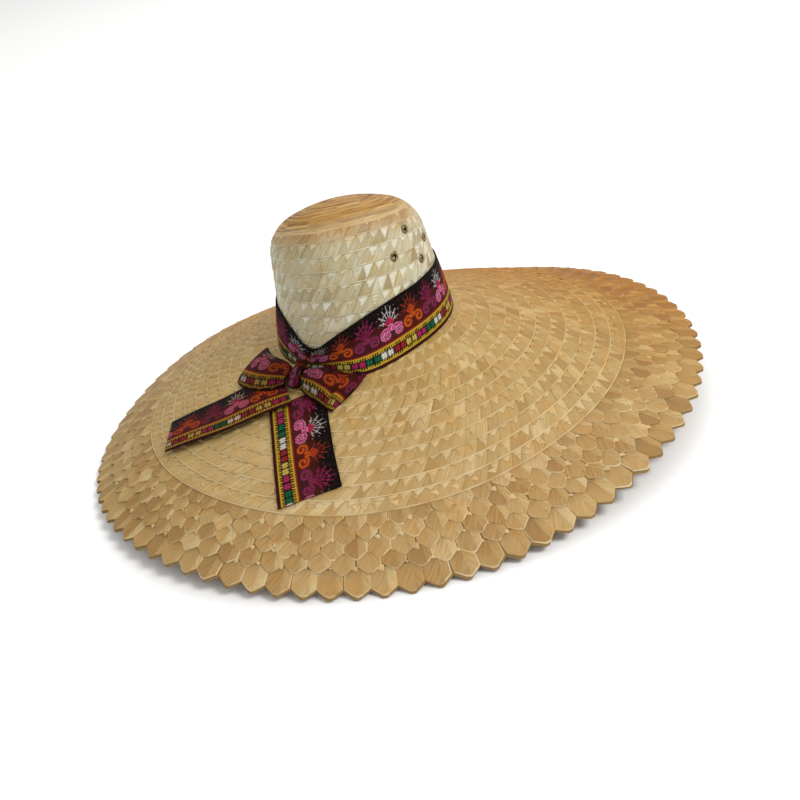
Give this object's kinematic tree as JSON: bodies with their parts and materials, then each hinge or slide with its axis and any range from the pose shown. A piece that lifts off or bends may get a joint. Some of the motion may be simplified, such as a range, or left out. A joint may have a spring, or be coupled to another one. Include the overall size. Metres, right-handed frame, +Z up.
{
  "type": "wide-brim woven hat",
  "caption": "Wide-brim woven straw sun hat with a rounded crown, a scalloped border, and an embroidered ribbon band tied in a flat bow with two tails.",
  "frame": {"origin": "on the surface that the hat rests on, under the middle of the box round its rim", "axes": "+Z up through the crown, -Y towards the side that shows the band's front with the bow to its left, +X to the right of that side"},
  "size_m": [0.644, 0.644, 0.2447],
  "materials": {
    "straw_crown": "woven natural palm straw, satin",
    "straw_brim": "woven golden palm straw, satin",
    "ribbon": "embroidered ribbon, matt",
    "eyelet_brass": "antiqued brass, satin"
  },
  "bodies": {
    "root": {"crown": "straw_crown", "brim": "straw_brim", "brim_border": "straw_brim", "hatband": "ribbon", "bow_knot": "ribbon", "bow_loop_left": "ribbon", "bow_loop_right": "ribbon", "tail_left": "ribbon", "tail_front": "ribbon", "eyelet_front_left": "eyelet_brass", "eyelet_front_right": "eyelet_brass", "eyelet_front_top": "eyelet_brass", "eyelet_front_bottom": "eyelet_brass", "eyelet_back_left": "eyelet_brass", "eyelet_back_right": "eyelet_brass", "eyelet_back_top": "eyelet_brass", "eyelet_back_bottom": "eyelet_brass"}
  },
  "joints": []
}
